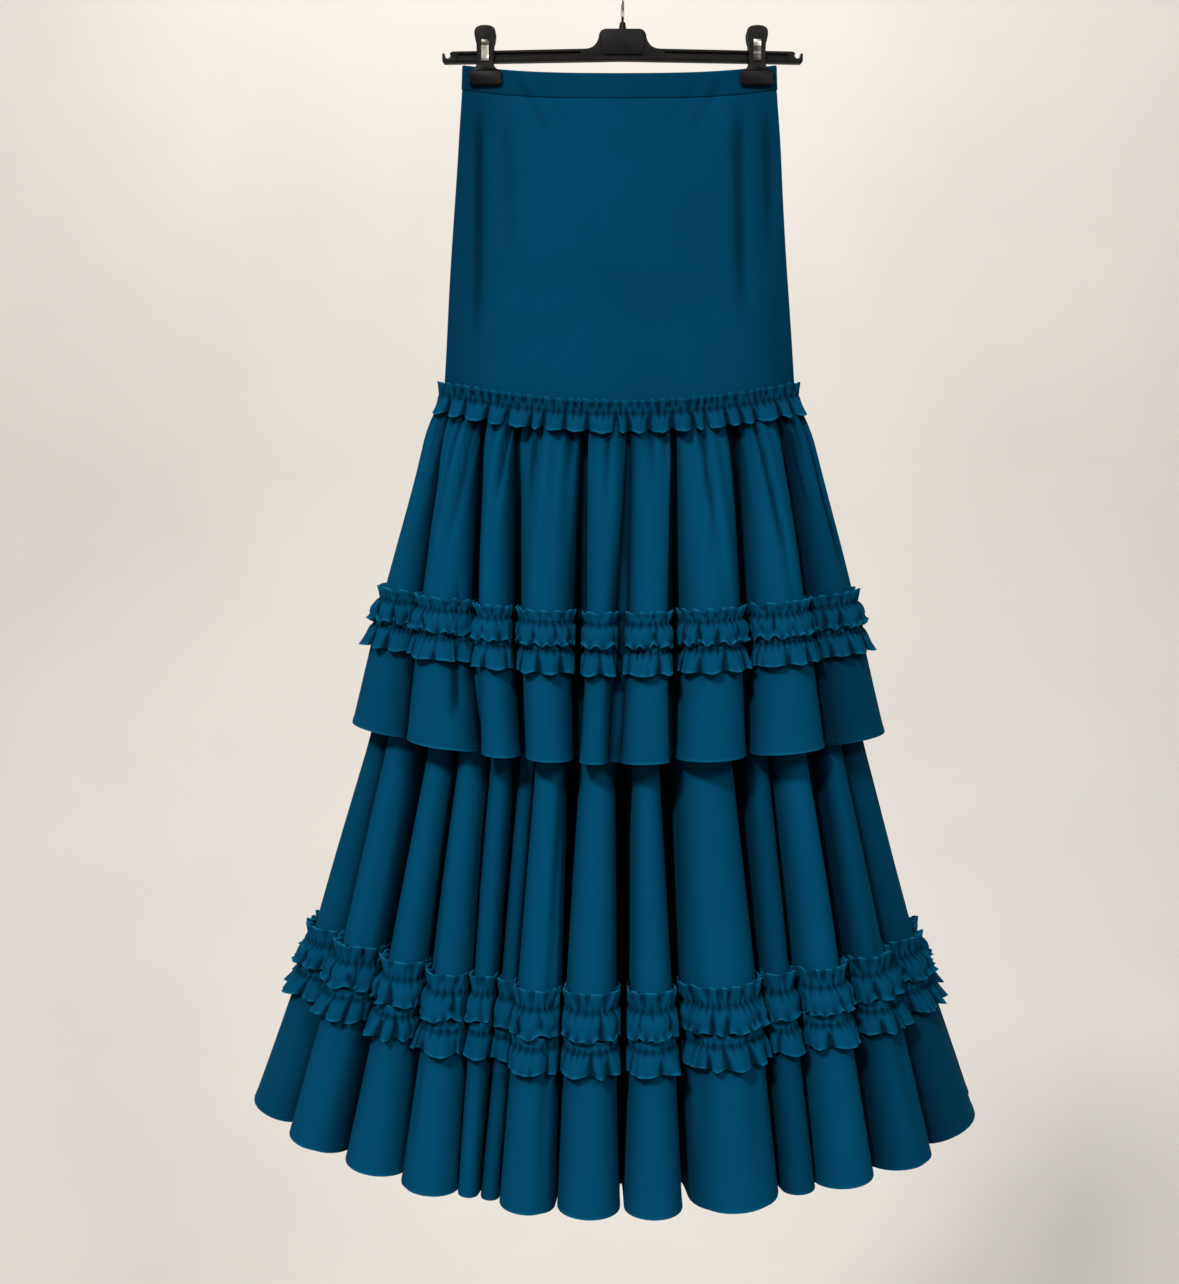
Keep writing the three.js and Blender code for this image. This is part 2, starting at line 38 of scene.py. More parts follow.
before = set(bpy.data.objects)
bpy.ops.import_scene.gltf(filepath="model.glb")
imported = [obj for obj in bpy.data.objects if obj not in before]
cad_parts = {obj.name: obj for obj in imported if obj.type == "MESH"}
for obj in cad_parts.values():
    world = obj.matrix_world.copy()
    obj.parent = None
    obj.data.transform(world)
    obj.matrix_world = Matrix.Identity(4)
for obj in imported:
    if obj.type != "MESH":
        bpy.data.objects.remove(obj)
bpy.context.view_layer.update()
rng = np.random.default_rng(7)

# ---------------------------------------------------------------- sizes of the cloth, in millimetres

CLOTH_X = -3.0  # the skirt hangs a little left of the hook
SIDE_EDGE = 3.4  # the part of an oval's depth that keeps its side edges round
WAIST_TOP, WAIST_SEAM, HIP_SEAM, FLOUNCE_HEM = -72.0, -97.0, -408.0, -747.0
BAND_THICK = 1.5
CLOTH_THICK = 0.9
RUFFLE_THICK = 0.7

# Rows: height at the centre front, rise at the left and right sides, half width, front and back depth,
# how flat the oval is, and the depth of the folds.
ROW_NAMES = ("z", "left", "right", "half", "front", "back", "flat", "fold")
YOKE_ROWS = [
    (-72, 10.5, 10.5, 157, 14, 11, 6, 0),
    (-97, 11, 11, 157.5, 17, 13, 6, 0),
    (-150, 13, 12, 162, 24, 18, 3.2, 0),
    (-260, 16, 15, 169, 38, 28, 1.9, 0),
    (-408, 21, 20, 179, 50, 38, 1.4, 0),
]
HIP_ROWS = [
    (-397, 20.7, 19.8, 178.6, 49.4, 37.6, 1.4, 0),
    (-408, 21, 20, 180, 51, 39, 1.4, 0),
    (-427, 21, 19.6, 186.5, 56.6, 43.2, 1.23, 0),
]
TIER1_ROWS = [
    (-408, 21, 20, 180, 51, 39, 1.4, 8),
    (-440, 21, 19, 199, 60, 46, 1.15, 26),
    (-600, 20, 17, 242, 100, 72, 1, 50),
    (-747, 26, 16, 279, 134, 95, 1, 44),
]
TIER2_ROWS = [
    (-640, 20, 17, 233, 81.5, 50.5, 1, 32),
    (-762, 26, 18, 259, 101, 63, 1, 68),
    (-960, 27, 18, 318, 160, 108, 1, 92),
    (-1163, 50, 34, 385, 220, 145, 1, 80),
]

# Valleys between the front folds: shares of the half width at the tier's top and hem, how deep, how far
# back the ridge on its right lies, and how wide the valley gapes at the top, half way and at the hem.
VALLEY_NAMES = ("top", "hem", "deep", "ridge", "gape_top", "gape_mid", "gape_hem")
TIER1_VALLEYS = [
    (-0.926, -0.8, 0.7, 0, 2, 3, 2),
    (-0.734, -0.512, 0.95, 0, 6, 12, 5),
    (-0.553, -0.359, 1.0, 0, 7, 11, 8),
    (-0.187, -0.161, 1.0, 0, 8, 17, 9),
    (0.053, -0.02, 0.36, 0, 4, 15, 14),
    (0.288, 0.191, 1.0, 0, 7, 16, 10),
    (0.615, 0.481, 1.0, 0, 10, 11, 6),
    (0.861, 0.771, 0.75, 0, 3, 3, 2),
]
TIER2_VALLEYS = [
    (-0.952, -0.896, 0.5, 0, 2, 2, 2),
    (-0.803, -0.742, 0.85, 0.05, 14, 12, 3),
    (-0.67, -0.574, 0.95, 0, 8, 11, 3),
    (-0.551, -0.425, 0.9, 0.2, 5, 3, 2),
    (-0.425, -0.368, 0.8, 0.24, 9, 6, 3),
    (-0.338, -0.315, 0.85, 0, 2, 2, 2),
    (-0.191, -0.167, 1.0, 0, 21, 6, 2),
    (0.018, 0.003, 1.05, 0, 20, 15, 4),
    (0.191, 0.17, 1.05, 0, 20, 10, 9),
    (0.5, 0.425, 0.95, 0.2, 18, 7, 2),
    (0.645, 0.515, 0.85, 0.05, 4, 8, 3),
    (0.8, 0.678, 0.9, 0, 15, 10, 3),
    (0.917, 0.844, 0.65, 0.08, 2, 3, 2),
]
# How much each side of a front fold is turned from the light, left and right, in the order of the folds.
TIER1_TURNS = [
    (0.2, 0.6), (0.1, 0.65), (0.15, 0.3), (0.2, 0.35), (0.1, 0.45),
    (0.5, 0.2), (0.25, 0.35), (0.4, 0.35), (0.8, 0.3),
]
TIER2_TURNS = [
    (0.1, 0.5), (0.1, 0.75), (0.15, 0.35), (0.4, 0.2), (0.2, 0.45), (0.55, 0.4), (0.15, 0.6),
    (0.2, 0.4), (0.25, 0.35), (0.55, 0.2), (0.45, 0.3), (0.35, 0.25), (0.75, 0.25), (0.75, 0.4),
]
# Fold number and shade of the folds that are dim all over, because they lie back or face away.
TIER1_DIM = {4: 0.06, 8: 0.22}
TIER2_DIM = {0: 0.1, 4: 0.1, 5: 0.28, 10: 0.28, 12: 0.2, 13: 0.28}
SIDE_VALLEY = {"deep": 0.45, "ridge": 0.0, "gape_top": 3, "gape_mid": 3, "gape_hem": 2}

# Strips: tier, heading, gather line and lower edge, how much lower they lie at the middle, how far the
# heading and the flounce stand out, and whether the flounce is puffed under its gathers or a plain flare.
RUFFLE_NAMES = ("name", "tier", "top", "gather", "low", "drop", "head", "flare", "puffed")
RUFFLE_ROWS = [
    ("hip_ruffle", "hip", -396, -408.5, -425, 1.0, 4.6, 3.0, False),
    ("mid_ruffle_upper", "tier1", -602, -614, -633, 1.0, 6.0, 8.5, True),
    ("mid_ruffle_lower", "tier1", -631, -641, -660, 1.0, 2.6, 9.5, False),
    ("low_ruffle_upper", "tier2", -956, -974, -996, 7.0, 7.5, 10.0, True),
    ("low_ruffle_lower", "tier2", -1000, -1010, -1028, 7.0, 2.8, 11.0, False),
]
RUFFLES = [dict(zip(RUFFLE_NAMES, row)) for row in RUFFLE_ROWS]


# ---------------------------------------------------------------- small helpers


def mix(a, b, t):
    """The value a share t of the way from a to b."""
    return a + (b - a) * t


def soft(t):
    """A share that starts and ends gently, held between 0 and 1."""
    t = np.clip(t, 0.0, 1.0)
    return t * t * (3 - 2 * t)


def lined(x, xs, ys):
    """Straight lines through a table, carried on past both of its ends."""
    xs, ys = np.asarray(xs, float), np.asarray(ys, float)
    i = np.clip(np.searchsorted(xs, x) - 1, 0, len(xs) - 2)
    return ys[i] + (ys[i + 1] - ys[i]) * (x - xs[i]) / (xs[i + 1] - xs[i])


ROUNDING = 16.0  # half the height over which a table's corners are rounded


def rows_at(rows, z):
    """The rows of a table at the heights z, with soft corners, each as an array like z."""
    heights = -np.array([row[0] for row in rows], float)
    out = {"z": np.asarray(z, float)}
    for k, name in enumerate(ROW_NAMES[1:], 1):
        values = [row[k] for row in rows]
        taps = [lined(-out["z"] + d * ROUNDING, heights, values) for d in (-1, -0.5, 0, 0.5, 1)]
        out[name] = sum(taps) / len(taps)
    return out


def oval(row, angle):
    """Points of a row's oval. The angle runs from the left side past the front and round the back."""
    side, depth = np.cos(angle), np.sin(angle)
    reach = np.where(depth > 0, row["front"], row["back"])
    size = np.maximum(np.abs(depth), 1e-9)
    out = SIDE_EDGE * size**0.35 + (reach - SIDE_EDGE) * size ** row["flat"]
    rise = np.where(side > 0, row["left"], row["right"])
    return np.stack([-row["half"] * side, -np.sign(depth) * out, row["z"] + rise * side**2], -1)


def oval_normal(row, angle):
    """Level normals of a row's oval."""
    along = oval(row, angle + 0.02) - oval(row, angle - 0.02)
    out = np.stack([along[..., 1], -along[..., 0], 0 * along[..., 0]], -1)
    return out / np.linalg.norm(out, axis=-1, keepdims=True)


def level_normal(points):
    """Level normals of rings of points, from their neighbours in the ring."""
    along = np.roll(points, -1, axis=-2) - np.roll(points, 1, axis=-2)
    out = np.stack([along[..., 1], -along[..., 0], 0 * along[..., 0]], -1)
    return out / np.maximum(np.linalg.norm(out, axis=-1, keepdims=True), 1e-9)


def surface_normal(points):
    """Normals of a closed grid, rows down and columns round."""
    along = np.roll(points, -1, axis=1) - np.roll(points, 1, axis=1)
    down = np.gradient(points, axis=0)
    out = np.cross(down, along)
    return out / np.maximum(np.linalg.norm(out, axis=-1, keepdims=True), 1e-9)


def ring_lengths(ring):
    """Lengths along a closed ring up to each point, and the whole way round."""
    steps = np.linalg.norm(np.roll(ring, -1, axis=0) - ring, axis=1)
    return np.concatenate([[0], np.cumsum(steps)])


# ---------------------------------------------------------------- tiers and their folds


class Tier:
    """A tube of cloth whose folds run from its top to its hem."""

    TUBE = 0.66  # the share of a fold's columns that its round tube takes
    WIDEST_GAPE = 0.62  # the largest share of a fold's pitch that a valley may take
    LEAST_WALL = 2.0

    def __init__(self, rows, front_valleys, turns, dim):
        self.rows, self.top, self.foot = rows, rows[0][0], rows[-1][0]
        self.turns = np.array(turns + [(right, left) for left, right in reversed(turns)])
        self.dim = np.zeros(len(self.turns))
        for fold, dark in dim.items():
            self.dim[[fold, -1 - fold]] = dark
        front = [dict(zip(VALLEY_NAMES, v)) for v in front_valleys]
        back = []
        for i, v in enumerate(front):
            ridge = (front[i - 1] if i else SIDE_VALLEY)["ridge"]
            top = v["top"] + 0.012 * math.sin(2.3 * i)
            hem = v["hem"] + 0.02 * math.sin(1.7 * i + 1)
            deep = v["deep"] * (0.9 + 0.1 * math.sin(2.9 * i))
            back.append({**v, "top": top, "hem": hem, "ridge": ridge, "deep": deep})
        left, right = {"top": -1, "hem": -1, **SIDE_VALLEY}, {"top": 1, "hem": 1, **SIDE_VALLEY}
        turned = [self.turn(v, False) for v in [left, *front, right]]
        turned += [self.turn(v, True) for v in reversed(back)]
        turned.append({**turned[0], "top": TAU, "hem": TAU})
        self.folds = len(turned) - 1
        self.valleys = {k: np.array([v[k] for v in turned]) for k in VALLEY_NAMES}
        self.sway = rng.uniform(-1, 1, (2, self.folds + 1))
        self.sway[:, -1] = self.sway[:, 0]
        self.sway[:, [0, self.folds // 2]] = 0

    @staticmethod
    def turn(v, behind):
        """A valley whose places are angles round the oval and not shares of its half width."""
        angles = {k: math.acos(-v[k]) for k in ("top", "hem")}
        if behind:
            angles = {k: TAU - angle for k, angle in angles.items()}
        return {**v, **angles}

    def columns(self, per_fold):
        """Places along the folds: a fold's number and its share."""
        share = np.arange(per_fold) / per_fold
        return (np.arange(self.folds)[:, None] + share[None, :]).ravel()

    def points(self, z, c, valley=1.0, proud=0.0):
        """Points at heights z (a column) and places c (a row), let in by the folds and moved out.

        A fold is a round tube over the share TUBE of its columns, and the rest are the walls that run
        back to the valleys on both of its sides.
        """
        z, c = np.asarray(z, float), np.asarray(c, float)
        row = rows_at(self.rows, z)
        t = np.clip((z - self.top) / (self.foot - self.top), 0, 1)
        i = np.clip(c.astype(int), 0, self.folds - 1)
        s = c - i
        edges = [mix(self.valleys["top"][j], self.valleys["hem"][j], t) for j in (i, i + 1)]
        for n, j in enumerate((i, i + 1)):
            sway = self.sway[0][j] * np.sin(3.1 * t + 4 * self.sway[1][j])
            edges[n] = edges[n] + 0.012 * sway * t * (1.2 - t)
        middle = (edges[0] + edges[1]) / 2
        across = np.hypot(row["half"] * np.sin(middle), row["front"] * np.cos(middle))
        pitch = (edges[1] - edges[0]) * across
        near = np.where(s < 0.5, i, i + 1)
        ridge = self.valleys["ridge"][i]
        deep = row["fold"] * np.maximum(self.valleys["deep"], 0.2)[near] * valley
        back = row["fold"] * ridge
        wall = np.maximum(deep - back, self.LEAST_WALL)
        least = row["fold"] * np.minimum(self.valleys["deep"][i], self.valleys["deep"][i + 1])
        half_tube = 0.5 - 0.5 * np.clip(self.gape(near, t) / pitch, 0, self.WIDEST_GAPE)
        room = np.maximum(least - back, self.LEAST_WALL)
        depth = np.minimum(mix(0.4, 0.49, t) * pitch, mix(0.6, 0.8, t) * room)
        depth = np.minimum(depth, wall * 0.9)
        u = np.abs(2 * s - 1)
        turn = np.clip(u / self.TUBE, 0, 1) * math.pi / 2
        down = np.clip((u - self.TUBE) / (1 - self.TUBE), 0, 1)
        lateral = half_tube * np.sin(turn) + (0.5 - half_tube) * down**3.5
        inset = back + depth * (1 - np.cos(turn)) + (wall - depth) * np.sin(down * math.pi / 2)
        lateral = 0.5 + np.sign(s - 0.5) * lateral
        angle = edges[0] + (edges[1] - edges[0]) * lateral
        inset = inset + self.extra(angle, z, t, lateral, i)
        return oval(row, angle) + oval_normal(row, angle) * (proud - inset)[..., None]

    def gape(self, valley, t):
        """How wide a valley gapes at the share t of the tier's height."""
        marks = [self.valleys["gape_" + k][valley] for k in ("top", "mid", "hem")]
        early = mix(marks[0], marks[1], np.clip(t / 0.6, 0, 1))
        return mix(early, marks[2], np.clip((t - 0.6) / 0.4, 0, 1) ** 2)

    def extra(self, angle, z, t, lateral, fold):
        """What the tier adds to its main folds."""
        return 0.0

    def turned(self, c):
        """How far each place has turned from the light, on the side of its tube."""
        across = (2 * (c - np.floor(c)) - 1) / self.TUBE
        sides = self.turns[np.clip(c.astype(int), 0, self.folds - 1)]
        side = np.where(across < 0, sides[:, 0], sides[:, 1]) * soft((np.abs(across) - 0.12) / 0.9)
        dim = self.dim[np.clip(c.astype(int), 0, self.folds - 1)]
        return dim + (1 - dim) * side

    def walls(self, c):
        """How far each place is down the walls between two tubes: 0 on a tube and 1 in a valley."""
        u = np.abs(2 * (c - np.floor(c)) - 1)
        return np.clip((u - self.TUBE * 0.9) / (1 - self.TUBE * 0.9), 0, 1)

    def dimming(self, c):
        """How dark the painted shade of the valley nearest each place is: a shallow one is only dim."""
        deep = self.valleys["deep"][np.round(c).astype(int)]
        return np.clip(0.1 + 1.4 * (deep - 0.2), 0.3, 1)


class UpperTier(Tier):
    """Tier 1, whose gathers under the hip ruffle are many soft pleats of uneven length."""

    PLEATS = 66
    # fold number, place across the fold, width, depth and the tier's share where it starts
    TROUGHS = [
        (1, 0.74, 0.1, 9, 0.35),
        (4, 0.85, 0.12, 6, 0.3),
        (13, 0.3, 0.1, 7, 0.4),
        (16, 0.7, 0.1, 8, 0.4),
    ]

    def __init__(self, rows, valleys, turns, dim):
        super().__init__(rows, valleys, turns, dim)
        n = self.PLEATS
        self.place = (np.arange(n) + rng.uniform(-0.3, 0.3, n)) / n * TAU
        self.width = rng.uniform(0.017, 0.034, n)
        self.deep = rng.uniform(4.5, 11.5, n)
        self.long = rng.uniform(130, 330, n)
        self.lean = rng.uniform(-0.03, 0.03, n)

    def extra(self, angle, z, t, lateral, fold):
        under = self.top - z
        inset = np.zeros(np.broadcast(angle, z).shape)
        for a, w, d, long, lean in zip(self.place, self.width, self.deep, self.long, self.lean):
            widen = 1 + 0.9 * np.clip(under / long, 0, 1)
            away = (angle - a - lean * under / long + math.pi) % TAU - math.pi
            start = soft((under + 4) / 20)
            inset = inset + d * np.exp(-((away / (w * widen)) ** 2)) * start * (1 - soft(under / long))
        swell = 1.2 * np.sin(7 * angle + 5 * t) * np.sin(math.pi * t)
        return inset + swell + troughs(self.TROUGHS, t, lateral, fold)


def troughs(table, t, lateral, fold):
    """How far the troughs of a table let each place in. They fade towards the hem."""
    inset = 0.0
    for number, place, width, deep, start in table:
        inside = (fold == number) * deep * np.exp(-(((lateral - place) / width) ** 2))
        inset = inset + inside * soft((t - start) / 0.3) * (1 - 0.75 * soft((t - 0.82) / 0.16))
    return inset


class LowerTier(Tier):
    """Tier 2, with a few secondary troughs on its wide folds."""

    # fold number, place across the fold, width, depth and the tier's share where it starts
    TROUGHS = [
        (1, 0.72, 0.09, 6, 0.2),
        (3, 0.25, 0.07, 5, 0.25),
        (6, 0.78, 0.07, 6, 0.1),
        (9, 0.18, 0.06, 8, 0.4),
        (9, 0.72, 0.08, 4, 0.5),
        (12, 0.6, 0.1, 5, 0.4),
        (16, 0.35, 0.1, 6, 0.3),
        (18, 0.65, 0.1, 7, 0.35),
        (20, 0.35, 0.1, 6, 0.4),
        (24, 0.6, 0.1, 7, 0.3),
    ]

    def extra(self, angle, z, t, lateral, fold):
        swell = 1.2 * np.sin(9 * angle + 6 * t) * np.sin(math.pi * t)
        return swell + troughs(self.TROUGHS, t, lateral, fold)


class Band:
    """A smooth band with no folds, on which the hip ruffle lies."""

    folds = 28

    def __init__(self, rows):
        self.rows = rows

    def walls(self, c):
        return 0 * c

    def turned(self, c):
        return 0 * c

    def points(self, z, c, valley=1.0, proud=0.0):
        row = rows_at(self.rows, np.asarray(z, float))
        angle = np.asarray(c, float) / self.folds * TAU + 0 * row["z"]
        proud = proud + np.zeros(angle.shape)
        return oval(row, angle) + oval_normal(row, angle) * proud[..., None]


LEAST_PARTING = 0.8
PARTING_SHARE = 0.16  # of the valley's gape


def part_ways(tier, z, c, base, grid):
    """Keep a strip's ruffles on two neighbouring tubes from meeting over the valley between them."""
    if isinstance(tier, Band):
        return grid
    t = np.clip((z - tier.top) / (tier.foot - tier.top), 0, 1)
    fold = np.clip(c.astype(int), 0, tier.folds - 1)
    for valley, sign in ((fold, 1), (fold + 1, -1)):
        foot = tier.points(z, valley.astype(float)[None, :])
        out = tier.points(z, valley.astype(float)[None, :], 1.0, 1.0) - foot
        along = sign * np.stack([-out[..., 1], out[..., 0], 0 * out[..., 0]], -1)
        away = ((grid - foot) * along).sum(-1)
        before = ((base - foot) * along).sum(-1)
        least = np.minimum(before, LEAST_PARTING + PARTING_SHARE * tier.gape(valley, t))
        grid = grid + along * np.maximum(least - away, 0)[..., None]
    return grid


TIERS = {
    "hip": Band(HIP_ROWS),
    "tier1": UpperTier(TIER1_ROWS, TIER1_VALLEYS, TIER1_TURNS, TIER1_DIM),
    "tier2": LowerTier(TIER2_ROWS, TIER2_VALLEYS, TIER2_TURNS, TIER2_DIM),
}


# ---------------------------------------------------------------- meshes


def new_object(name, points, faces, material):
    """A mesh object from points in millimetres and an array of four-cornered faces."""
    mesh = bpy.data.meshes.new(name)
    points = np.asarray(points, np.float32) * MM
    mesh.vertices.add(len(points))
    mesh.vertices.foreach_set("co", points.ravel())
    faces = np.asarray(faces, np.int32)
    mesh.loops.add(faces.size)
    mesh.loops.foreach_set("vertex_index", faces.ravel())
    mesh.polygons.add(len(faces))
    mesh.polygons.foreach_set("loop_start", np.arange(len(faces), dtype=np.int32) * faces.shape[1])
    mesh.polygons.foreach_set("use_smooth", np.ones(len(faces), bool))
    mesh.update(calc_edges=True)
    mesh.validate()
    mesh.materials.append(material)
    made = bpy.data.objects.new(name, mesh)
    bpy.context.scene.collection.objects.link(made)
    return made


def shell_faces(rows, columns):
    """Faces of a closed shell between two closed grids: outside, inside and both rims."""
    r, c = np.meshgrid(np.arange(rows - 1), np.arange(columns), indexing="ij")
    nxt = (c + 1) % columns
    quad = [r * columns + c, (r + 1) * columns + c, (r + 1) * columns + nxt, r * columns + nxt]
    outside = np.stack(quad, -1).reshape(-1, 4)
    inside = outside[:, ::-1] + rows * columns
    c = np.arange(columns)
    nxt = (c + 1) % columns
    foot, under = (rows - 1) * columns, rows * columns
    top_rim = np.stack([c, nxt, under + nxt, under + c], -1)
    foot_rim = np.stack([foot + c, under + foot + c, under + foot + nxt, foot + nxt], -1)
    return np.concatenate([outside, inside, top_rim, foot_rim])


def shell(name, grid, thick, material, edge_highlight=None, shade=None):
    """A closed shell under a grid of points.

    Two attributes go with it: a painted highlight that grows near an edge, and painted shade.
    """
    rows, columns = grid.shape[:2]
    thick = np.broadcast_to(np.asarray(thick, float), (rows,))
    inner = grid - surface_normal(grid) * thick[:, None, None]
    points = np.concatenate([grid.reshape(-1, 3), inner.reshape(-1, 3)])
    points[:, 0] += CLOTH_X
    made = new_object(name, points, shell_faces(rows, columns), material)
    edge_highlight = np.zeros(rows) if edge_highlight is None else edge_highlight
    shade = np.zeros((1, columns)) if shade is None else shade
    # the 'edge' attribute is a painted highlight and the 'fold' attribute is painted shade
    for label, value in (("edge", edge_highlight[:, None]), ("fold", shade)):
        value = np.broadcast_to(value, (rows, columns)).ravel()
        attribute = made.data.attributes.new(label, "FLOAT", "POINT")
        attribute.data.foreach_set("value", np.concatenate([value, value]).astype(np.float32))
    return made


def hollows(grid, reach, depth):
    """How far each point lies in a small hollow: 0 on the level and 1 at the depth given."""
    smooth = sum(np.roll(grid, k, axis=1) for k in range(-reach, reach + 1)) / (2 * reach + 1)
    ring = sum(np.roll(grid, k, axis=1) for k in (-reach, 0, reach)) / 3
    below = ((smooth - grid) * level_normal(ring)).sum(-1)
    return np.clip(below / depth, 0, 1)


STITCH_RADIUS = 0.22


def stitches(name, ring, spacing, length, radius, material):
    """A row of short stitches that lie along a closed ring."""
    along = ring_lengths(ring)
    count = int(along[-1] / spacing)
    closed = np.vstack([ring, ring[:1]])
    ends = []
    for shift in (-0.5, 0.5):
        at = (np.arange(count) + 0.5) * spacing + shift * length
        ends.append(np.stack([np.interp(at, along, closed[:, k]) for k in range(3)], -1))
    a, b = ends
    run = b - a
    run /= np.maximum(np.linalg.norm(run, axis=1, keepdims=True), 1e-9)
    out = np.stack([run[:, 1], -run[:, 0], 0 * run[:, 0]], -1)
    out /= np.maximum(np.linalg.norm(out, axis=1, keepdims=True), 1e-9)
    up = np.cross(run, out)
    points, middle = [], (a + b) / 2
    for at, size in ((a, 0.35), (middle, 1.0), (b, 0.35)):
        for o, w in ((1, 0), (0, 1), (-1, 0), (0, -1)):
            points.append(at + radius * size * (o * out + w * up))
    points = np.stack(points, 1)
    base = (np.arange(count) * 12)[:, None, None]
    one = []
    for start in (0, 4):
        for k in range(4):
            here, after = start + k, start + (k + 1) % 4
            one.append([here, after, after + 4, here + 4])
    one += [[3, 2, 1, 0], [8, 9, 10, 11]]
    faces = (np.array(one)[None] + base).reshape(-1, 4)
    points = points.reshape(-1, 3)
    points[:, 0] += CLOTH_X
    return new_object(name, points, faces, material)


# ---------------------------------------------------------------- materials


def principled(name):
    """A new material with its nodes, links and shader."""
    material = bpy.data.materials.new(name)
    material.use_nodes = True
    nodes, links = material.node_tree.nodes, material.node_tree.links
    return material, nodes, links, nodes["Principled BSDF"]


def noise(nodes, links, scale, detail=2.0, rough=0.5, stretch=(1, 1, 1)):
    """Noise tied to the object's own coordinates."""
    where = nodes.new("ShaderNodeTexCoord")
    mapping = nodes.new("ShaderNodeMapping")
    mapping.inputs["Scale"].default_value = stretch
    texture = nodes.new("ShaderNodeTexNoise")
    texture.inputs["Scale"].default_value = scale
    texture.inputs["Detail"].default_value = detail
    texture.inputs["Roughness"].default_value = rough
    links.new(where.outputs["Object"], mapping.inputs["Vector"])
    links.new(mapping.outputs["Vector"], texture.inputs["Vector"])
    return texture


def ramp(nodes, links, source, stops):
    """A colour ramp over stops of (position, colour)."""
    made = nodes.new("ShaderNodeValToRGB")
    made.color_ramp.elements[0].position, made.color_ramp.elements[0].color = stops[0]
    made.color_ramp.elements[1].position, made.color_ramp.elements[1].color = stops[-1]
    for position, color in stops[1:-1]:
        made.color_ramp.elements.new(position).color = color
    links.new(source, made.inputs["Fac"])
    return made


def bump(nodes, links, layers, shader):
    """Bump layers of (texture output, strength, depth in metres), one on the other."""
    last = None
    for source, strength, depth in layers:
        made = nodes.new("ShaderNodeBump")
        made.inputs["Strength"].default_value = strength
        made.inputs["Distance"].default_value = depth
        links.new(source, made.inputs["Height"])
        if last:
            links.new(last.outputs["Normal"], made.inputs["Normal"])
        last = made
    links.new(last.outputs["Normal"], shader.inputs["Normal"])


def tinted(nodes, links, source, label, color):
    """A colour that goes over into another one as a shell's attribute grows."""
    share = nodes.new("ShaderNodeAttribute")
    share.attribute_name = label
    mixed = nodes.new("ShaderNodeMix")
    mixed.data_type = "RGBA"
    links.new(share.outputs["Fac"], mixed.inputs["Factor"])
    links.new(source, mixed.inputs["A"])
    mixed.inputs["B"].default_value = color
    return mixed.outputs["Result"]


def grey(value):
    return (value, value, value, 1)


CLOTH_BASE = (0.0, 0.0415, 0.092, 1)
CLOTH_DARK = (0.0, 0.0365, 0.081, 1)
# painted shade, mixed in where shade falls: valleys, hollows, sides turned from the light, under strips
CLOTH_PAINTED_SHADE = (0.0, 0.006, 0.015, 1)
# painted highlight along the cloth's edges, where they catch the light
CLOTH_EDGE_LIGHT = (0.003, 0.1, 0.195, 1)
THREAD_DARK, THREAD_BASE = (0.0004, 0.045, 0.09, 1), (0.001, 0.065, 0.125, 1)
PLASTIC_DARK, PLASTIC_BASE = (0.0028, 0.0026, 0.0024, 1), (0.0045, 0.0042, 0.0039, 1)
CHROME_COLOR = (0.78, 0.78, 0.78, 1)
STEEL_COLOR = (0.27, 0.25, 0.225, 1)
BACKDROP_DARK, BACKDROP_BASE = (0.6, 0.575, 0.545, 1), (0.64, 0.615, 0.58, 1)


def cloth_material():
    material, nodes, links, shader = principled("teal_crepe")
    broad = noise(nodes, links, 9.0, 3.0)
    tone = ramp(nodes, links, broad.outputs["Fac"], [(0.3, CLOTH_DARK), (0.7, CLOTH_BASE)])
    # a painted highlight along the edges
    wear_and_edge_light = tinted(nodes, links, tone.outputs["Color"], "edge", CLOTH_EDGE_LIGHT)
    # painted shade, as much as the 'fold' attribute gives
    painted_shade = tinted(nodes, links, wear_and_edge_light, "fold", CLOTH_PAINTED_SHADE)
    links.new(painted_shade, shader.inputs["Base Color"])
    shader.inputs["Roughness"].default_value = 0.9
    shader.inputs["Specular IOR Level"].default_value = 0.02
    shader.inputs["Sheen Weight"].default_value = 0.05
    shader.inputs["Sheen Roughness"].default_value = 0.45
    shader.inputs["Sheen Tint"].default_value = (0.02, 0.6, 0.95, 1)
    crepe = noise(nodes, links, 1500.0, 3.0, 0.65)
    slub = noise(nodes, links, 420.0, 2.0, 0.5, (1, 1, 0.25))
    bump(nodes, links, [(slub.outputs["Fac"], 0.25, 0.0004), (crepe.outputs["Fac"], 0.4, 0.0003)], shader)
    return material


def thread_material():
    material, nodes, links, shader = principled("overlock_thread")
    twist = noise(nodes, links, 900.0, 2.0)
    tone = ramp(nodes, links, twist.outputs["Fac"], [(0.35, THREAD_DARK), (0.65, THREAD_BASE)])
    links.new(tone.outputs["Color"], shader.inputs["Base Color"])
    shader.inputs["Roughness"].default_value = 0.8
    shader.inputs["Specular IOR Level"].default_value = 0.05
    bump(nodes, links, [(twist.outputs["Fac"], 0.5, 0.0004)], shader)
    return material


def plastic_material():
    material, nodes, links, shader = principled("black_plastic")
    grain = noise(nodes, links, 1400.0, 2.0)
    wear_and_edge_light = noise(nodes, links, 60.0, 4.0)
    tone = ramp(nodes, links, wear_and_edge_light.outputs["Fac"], [(0.35, PLASTIC_DARK), (0.7, PLASTIC_BASE)])
    gloss = ramp(nodes, links, wear_and_edge_light.outputs["Fac"], [(0.3, grey(0.42)), (0.75, grey(0.56))])
    links.new(tone.outputs["Color"], shader.inputs["Base Color"])
    links.new(gloss.outputs["Color"], shader.inputs["Roughness"])
    shader.inputs["Specular IOR Level"].default_value = 0.07
    bump(nodes, links, [(grain.outputs["Fac"], 0.2, 0.0001)], shader)
    return material


